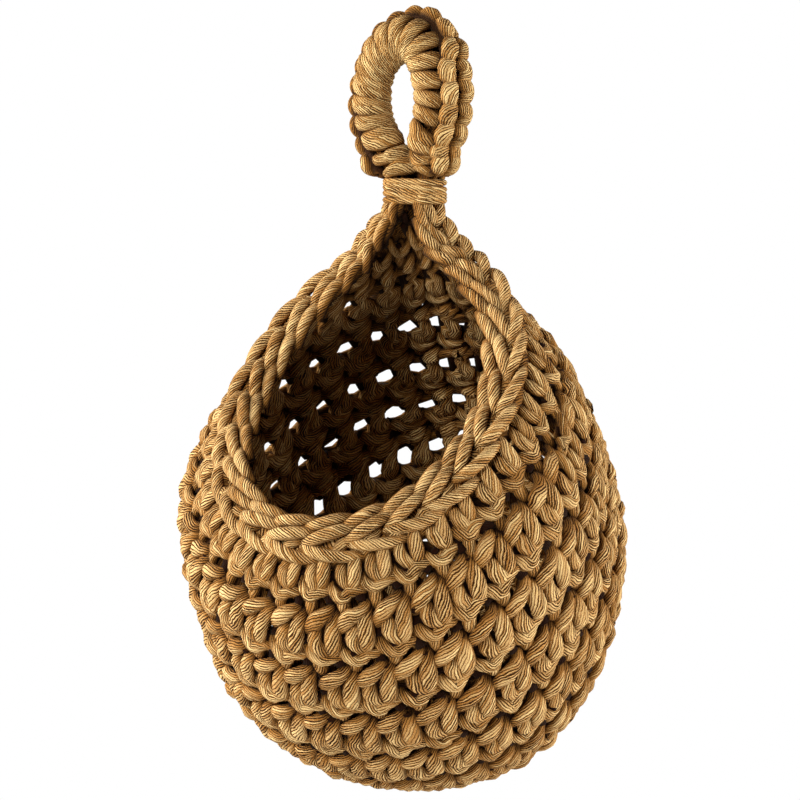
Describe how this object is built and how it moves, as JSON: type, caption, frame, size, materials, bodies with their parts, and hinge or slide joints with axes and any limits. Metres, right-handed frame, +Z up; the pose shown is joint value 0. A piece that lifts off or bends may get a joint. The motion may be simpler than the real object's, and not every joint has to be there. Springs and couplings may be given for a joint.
{
  "type": "wall basket",
  "caption": "Round crocheted cotton basket hung by its rim from a stitched hanging loop, with a teardrop mouth open to the front.",
  "frame": {"origin": "the inner top of the hanging loop, where a hook carries the basket", "axes": "+Z up as it hangs, -Y out of the wall towards the viewer, so the mouth faces -Y and up, +X to the viewer's right"},
  "size_m": [0.171, 0.1898, 0.2978],
  "materials": {
    "cotton_body": "matte",
    "cotton_rim": "matte",
    "cotton_wrap": "matte",
    "cotton_loop": "matte",
    "cotton_core": "matte"
  },
  "bodies": {
    "loop": {"loop_core": "cotton_core", "loop_cover": "cotton_loop", "neck_wrap": "cotton_wrap"},
    "basket": {"rim_edging": "cotton_rim", "round_01": "cotton_body", "round_02": "cotton_body", "round_03": "cotton_body", "round_04": "cotton_body", "round_05": "cotton_body", "round_06": "cotton_body", "round_07": "cotton_body", "round_08": "cotton_body", "round_09": "cotton_body", "round_10": "cotton_body", "round_11": "cotton_body", "round_12": "cotton_body", "round_13": "cotton_body", "round_14": "cotton_body", "round_15": "cotton_body", "round_16": "cotton_body", "round_17": "cotton_body"}
  },
  "joints": [
    {"name": "neck_swing", "type": "hinge", "parent": "loop", "child": "basket", "pos_m": [0, 0, -0.06301], "axis": [1, 0, 0], "range_deg": [-40, 20]}
  ]
}
